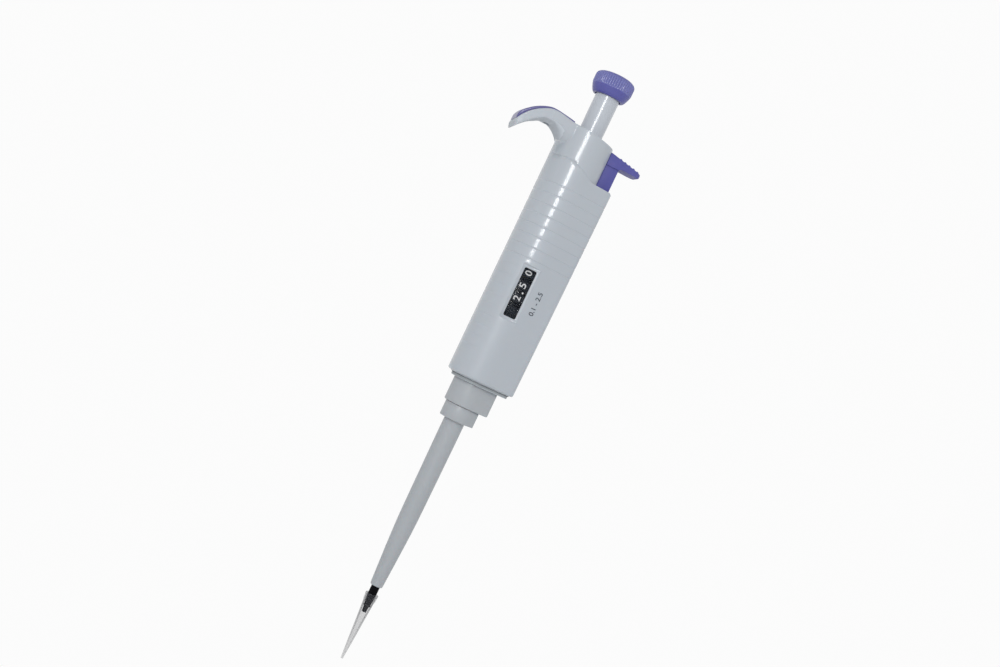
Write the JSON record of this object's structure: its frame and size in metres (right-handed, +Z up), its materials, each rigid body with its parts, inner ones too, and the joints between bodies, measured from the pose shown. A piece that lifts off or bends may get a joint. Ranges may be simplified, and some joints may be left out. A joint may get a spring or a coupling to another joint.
{
  "type": "micropipette",
  "caption": "Adjustable air-displacement micropipette with finger hook, push button, number window, side ejector and a fitted disposable tip.",
  "frame": {"origin": "middle of the flat seat under the finger hook, where the pipette hangs on a rail", "axes": "+Z runs up along the plunger axis, away from the tip; -Y faces the number window; +X points from the hook towards the ejector button"},
  "size_m": [0.0625, 0.0258, 0.2857],
  "materials": {
    "housing": "satin blue-grey moulding",
    "sleeve": "satin grey moulding",
    "stem": "smooth grey",
    "purple": "satin purple",
    "purple_gloss": "smooth purple",
    "black_plastic": "satin black",
    "inner_plastic": "natural off-white",
    "window": "clear polished pane",
    "tip": "translucent polypropylene",
    "steel": "bright steel",
    "brass": "turned brass",
    "seal_rubber": "dull black rubber"
  },
  "bodies": {
    "handle": {"handle_body": "housing", "hook_cap": "housing", "hook_inlay": "purple_gloss", "display_window": "window", "handle_base": "housing", "stem_guide": "inner_plastic", "friction_ring": "seal_rubber", "coupling_nut": "brass", "counter_base": "inner_plastic", "counter_top_plate": "inner_plastic", "carry_axle": "steel", "nut_rail": "steel", "tip_cone": "black_plastic", "cone_seal_ring": "seal_rubber", "piston_seal": "inner_plastic", "seal_ring": "seal_rubber", "seal_retainer": "brass", "blowout_spring": "steel", "blowout_washer": "steel", "main_spring": "steel", "ejector_spring": "steel"},
    "dial": {"hundredths_wheel": "black_plastic", "volume_spindle": "brass", "calibration_nut": "steel"},
    "plunger": {"push_button": "purple", "plunger_stem": "stem", "control_rod": "steel", "retaining_clip": "steel"},
    "piston_carrier": {"piston_head": "inner_plastic", "piston": "steel"},
    "tenths_wheel": {"tenths_wheel": "black_plastic"},
    "units_wheel": {"units_wheel": "black_plastic"},
    "tens_wheel": {"tens_wheel": "black_plastic"},
    "tenths_pinion": {"tenths_carry_pinion": "inner_plastic"},
    "units_pinion": {"units_carry_pinion": "inner_plastic"},
    "tens_pinion": {"tens_carry_pinion": "inner_plastic"},
    "nut": {"volume_nut": "brass"},
    "ejector": {"ejector_button": "purple", "ejector_rod": "steel", "ejector_arm": "sleeve", "ejector_sleeve": "sleeve"},
    "tip": {"disposable_tip": "tip"}
  },
  "joints": [
    {"name": "volume_turn", "type": "hinge", "parent": "handle", "child": "dial", "pos_m": [0.0205, 0, 0.029], "axis": [0, 0, -1], "range_deg": [0, 1728]},
    {"name": "plunger_press", "type": "slide", "parent": "dial", "child": "plunger", "axis": [0, 0, -1], "range_m": [0, 0.0147], "stiffness_N_per_m": 200, "springref_m": -0.01},
    {"name": "piston_slide", "type": "slide", "parent": "handle", "child": "piston_carrier", "axis": [0, 0, -1], "range_m": [0, 0.0147], "deforming": ["main_spring"]},
    {"name": "tenths_turn", "type": "hinge", "parent": "handle", "child": "tenths_wheel", "pos_m": [0.0205, 0, -0.0703], "axis": [0, 0, -1], "range_deg": [0, 864]},
    {"name": "units_turn", "type": "hinge", "parent": "handle", "child": "units_wheel", "pos_m": [0.0205, 0, -0.0763], "axis": [0, 0, -1], "range_deg": [0, 86.4]},
    {"name": "tens_turn", "type": "hinge", "parent": "handle", "child": "tens_wheel", "pos_m": [0.0205, 0, -0.0823], "axis": [0, 0, -1], "range_deg": [0, 8.64]},
    {"name": "tenths_pinion_turn", "type": "hinge", "parent": "handle", "child": "tenths_pinion", "pos_m": [0.0317, 0, -0.0675], "axis": [0, 0, -1], "range_deg": [-2160, 0]},
    {"name": "units_pinion_turn", "type": "hinge", "parent": "handle", "child": "units_pinion", "pos_m": [0.0317, 0, -0.0735], "axis": [0, 0, -1], "range_deg": [-216, 0]},
    {"name": "tens_pinion_turn", "type": "hinge", "parent": "handle", "child": "tens_pinion", "pos_m": [0.0317, 0, -0.0795], "axis": [0, 0, -1], "range_deg": [-21.6, 0]},
    {"name": "nut_slide", "type": "slide", "parent": "handle", "child": "nut", "axis": [0, 0, -1], "range_m": [0, 0.0116]},
    {"name": "ejector_press", "type": "slide", "parent": "handle", "child": "ejector", "axis": [0, 0, -1], "range_m": [0, 0.01], "stiffness_N_per_m": 300, "springref_m": -0.008, "deforming": ["ejector_spring"]},
    {"name": "tip_release", "type": "slide", "parent": "handle", "child": "tip", "axis": [0, 0, -1], "range_m": [0, 0.0063]}
  ],
  "couplings": [
    {"joint": "piston_slide", "follows": "plunger_press", "ratio": 1},
    {"joint": "tenths_turn", "follows": "volume_turn", "ratio": 0.5},
    {"joint": "units_turn", "follows": "volume_turn", "ratio": 0.05},
    {"joint": "tens_turn", "follows": "volume_turn", "ratio": 0.005},
    {"joint": "tenths_pinion_turn", "follows": "volume_turn", "ratio": -1.25},
    {"joint": "units_pinion_turn", "follows": "volume_turn", "ratio": -0.125},
    {"joint": "tens_pinion_turn", "follows": "volume_turn", "ratio": -0.0125},
    {"joint": "nut_slide", "follows": "volume_turn", "m_per_rad": 0.00038197},
    {"joint": "tip_release", "follows": "ejector_press", "ratio": 0.63}
  ]
}
